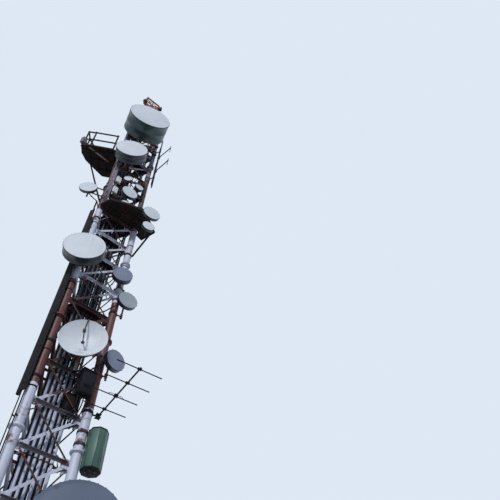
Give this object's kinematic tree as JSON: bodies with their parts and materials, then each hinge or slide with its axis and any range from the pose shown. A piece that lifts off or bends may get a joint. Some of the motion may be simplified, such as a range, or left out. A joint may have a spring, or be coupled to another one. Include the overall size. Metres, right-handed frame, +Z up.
{
  "type": "1:2 scale model of a cell tower",
  "caption": "Tall three-legged lattice mast in red and white bands, with platforms, microwave drums and dishes, a ladder and feeder lines.",
  "frame": {"origin": "the middle of the underside of the left leg's base plate", "axes": "+X along the front face from the left leg to the right leg, +Y away from the front face towards the rear leg, +Z up"},
  "size_m": [3.6955, 3.6931, 28.94],
  "materials": {
    "banded_paint": "weathered satin, in red and white bands",
    "dark_jacket": "matt",
    "dark_metal": "dull",
    "dark_paint": "satin",
    "galvanised_steel": "dull, with rust",
    "green_grey_paint": "satin",
    "lamp_red": "glossy",
    "pale_jacket": "matt",
    "radome_fabric": "stretched, matt",
    "red_paint": "satin",
    "rusty_grating": "rusty",
    "slate_paint": "satin",
    "white_paint": "satin",
    "white_plastic": "matt"
  },
  "bodies": {
    "root": {"leg_left": "banded_paint", "leg_right": "banded_paint", "leg_rear": "banded_paint", "base_plate_left": "galvanised_steel", "base_plate_right": "galvanised_steel", "base_plate_rear": "galvanised_steel", "front_bracing_lower": "banded_paint", "front_bracing_middle": "banded_paint", "front_bracing_upper": "banded_paint", "right_bracing_lower": "banded_paint", "right_bracing_middle": "banded_paint", "right_bracing_upper": "banded_paint", "left_bracing_lower": "banded_paint", "left_bracing_middle": "banded_paint", "left_bracing_upper": "banded_paint", "ladder": "galvanised_steel", "rack_bars": "galvanised_steel", "feeder_lines": "pale_jacket", "leg_riser": "dark_jacket", "upper_platform": "rusty_grating", "upper_guard_rail": "galvanised_steel", "middle_platform": "rusty_grating", "antenna_poles": "galvanised_steel", "lower_platform": "rusty_grating", "top_frame": "red_paint", "beacon_lamps": "lamp_red", "top_drum": "green_grey_paint", "top_drum_radome": "radome_fabric", "upper_drum": "dark_paint", "upper_drum_radome": "radome_fabric", "middle_drum": "dark_paint", "middle_drum_radome": "radome_fabric", "lower_drum": "slate_paint", "lower_drum_radome": "slate_paint", "open_dish": "white_paint", "open_dish_feed": "galvanised_steel", "cross_rails": "galvanised_steel", "drum_mounts": "galvanised_steel", "small_drums": "dark_paint", "small_drum_radomes": "radome_fabric", "beam_antenna": "dark_metal", "prism_antenna": "green_grey_paint", "panel_antennas": "white_plastic", "whip_antennas": "galvanised_steel", "equipment_cabinets": "dark_paint"}
  },
  "joints": []
}
